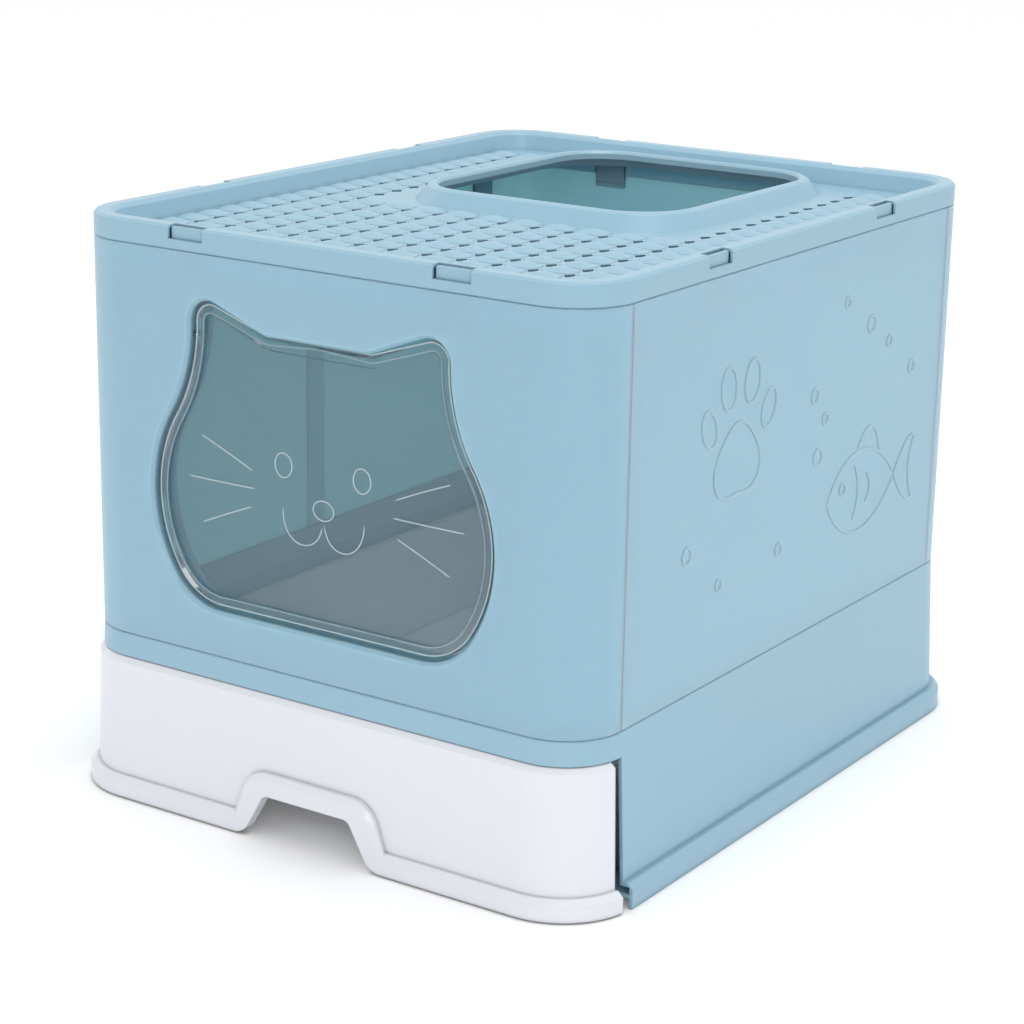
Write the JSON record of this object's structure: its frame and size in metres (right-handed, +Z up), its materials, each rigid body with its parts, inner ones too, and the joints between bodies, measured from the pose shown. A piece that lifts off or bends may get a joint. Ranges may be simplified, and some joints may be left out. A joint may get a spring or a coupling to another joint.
{
  "type": "top-entry litter box",
  "caption": "Enclosed litter box with a lift-off perforated lid to climb in through, a swinging clear cat-head flap and a pull-out pan drawer.",
  "frame": {"origin": "on the floor, under the middle of the overall box", "axes": "+Z up, front with the flap and drawer towards -Y, +X to the right of someone facing the front"},
  "size_m": [0.4124, 0.5116, 0.3793],
  "materials": {
    "shell": "fine satin texture",
    "pan": "satin",
    "clear": "clear, polished"
  },
  "bodies": {
    "cabinet": {"base_frame": "shell", "front_panel": "shell", "rear_panel": "shell", "left_panel": "shell", "right_panel": "shell"},
    "drawer": {"litter_drawer": "pan"},
    "lid": {"lid": "shell"},
    "door": {"door_flap": "clear"},
    "tongue_front_left": {"snap_tongue_front_left": "shell"},
    "tongue_front_right": {"snap_tongue_front_right": "shell"},
    "tongue_right_front": {"snap_tongue_right_front": "shell"},
    "tongue_right_rear": {"snap_tongue_right_rear": "shell"},
    "tongue_rear_right": {"snap_tongue_rear_right": "shell"},
    "tongue_rear_left": {"snap_tongue_rear_left": "shell"},
    "tongue_left_rear": {"snap_tongue_left_rear": "shell"},
    "tongue_left_front": {"snap_tongue_left_front": "shell"}
  },
  "joints": [
    {"name": "door_hinge", "type": "hinge", "parent": "cabinet", "child": "door", "pos_m": [0, -0.237, 0.31298], "axis": [1, 0, 0], "range_deg": [-85, 85]},
    {"name": "drawer_slide", "type": "slide", "parent": "cabinet", "child": "drawer", "axis": [0, -1, 0], "range_m": [0, 0.42]},
    {"name": "lid_lift", "type": "slide", "parent": "cabinet", "child": "lid", "axis": [0, 0, 1], "range_m": [0, 0.15]},
    {"name": "tongue_front_left_flex", "type": "hinge", "parent": "cabinet", "child": "tongue_front_left", "pos_m": [-0.0985, -0.2397, 0.346], "axis": [-1, 0, 0], "range_deg": [0, 3.5], "stiffness_Nm_per_rad": 0.5},
    {"name": "tongue_front_right_flex", "type": "hinge", "parent": "cabinet", "child": "tongue_front_right", "pos_m": [0.0985, -0.2397, 0.346], "axis": [-1, 0, 0], "range_deg": [0, 3.5], "stiffness_Nm_per_rad": 0.5},
    {"name": "tongue_right_front_flex", "type": "hinge", "parent": "cabinet", "child": "tongue_right_front", "pos_m": [0.1902, -0.108, 0.346], "axis": [0, -1, 0], "range_deg": [0, 3.5], "stiffness_Nm_per_rad": 0.5},
    {"name": "tongue_right_rear_flex", "type": "hinge", "parent": "cabinet", "child": "tongue_right_rear", "pos_m": [0.1902, 0.108, 0.346], "axis": [0, -1, 0], "range_deg": [0, 3.5], "stiffness_Nm_per_rad": 0.5},
    {"name": "tongue_rear_right_flex", "type": "hinge", "parent": "cabinet", "child": "tongue_rear_right", "pos_m": [0.0985, 0.2397, 0.346], "axis": [1, 0, 0], "range_deg": [0, 3.5], "stiffness_Nm_per_rad": 0.5},
    {"name": "tongue_rear_left_flex", "type": "hinge", "parent": "cabinet", "child": "tongue_rear_left", "pos_m": [-0.0985, 0.2397, 0.346], "axis": [1, 0, 0], "range_deg": [0, 3.5], "stiffness_Nm_per_rad": 0.5},
    {"name": "tongue_left_rear_flex", "type": "hinge", "parent": "cabinet", "child": "tongue_left_rear", "pos_m": [-0.1902, 0.108, 0.346], "axis": [0, 1, 0], "range_deg": [0, 3.5], "stiffness_Nm_per_rad": 0.5},
    {"name": "tongue_left_front_flex", "type": "hinge", "parent": "cabinet", "child": "tongue_left_front", "pos_m": [-0.1902, -0.108, 0.346], "axis": [0, 1, 0], "range_deg": [0, 3.5], "stiffness_Nm_per_rad": 0.5}
  ]
}
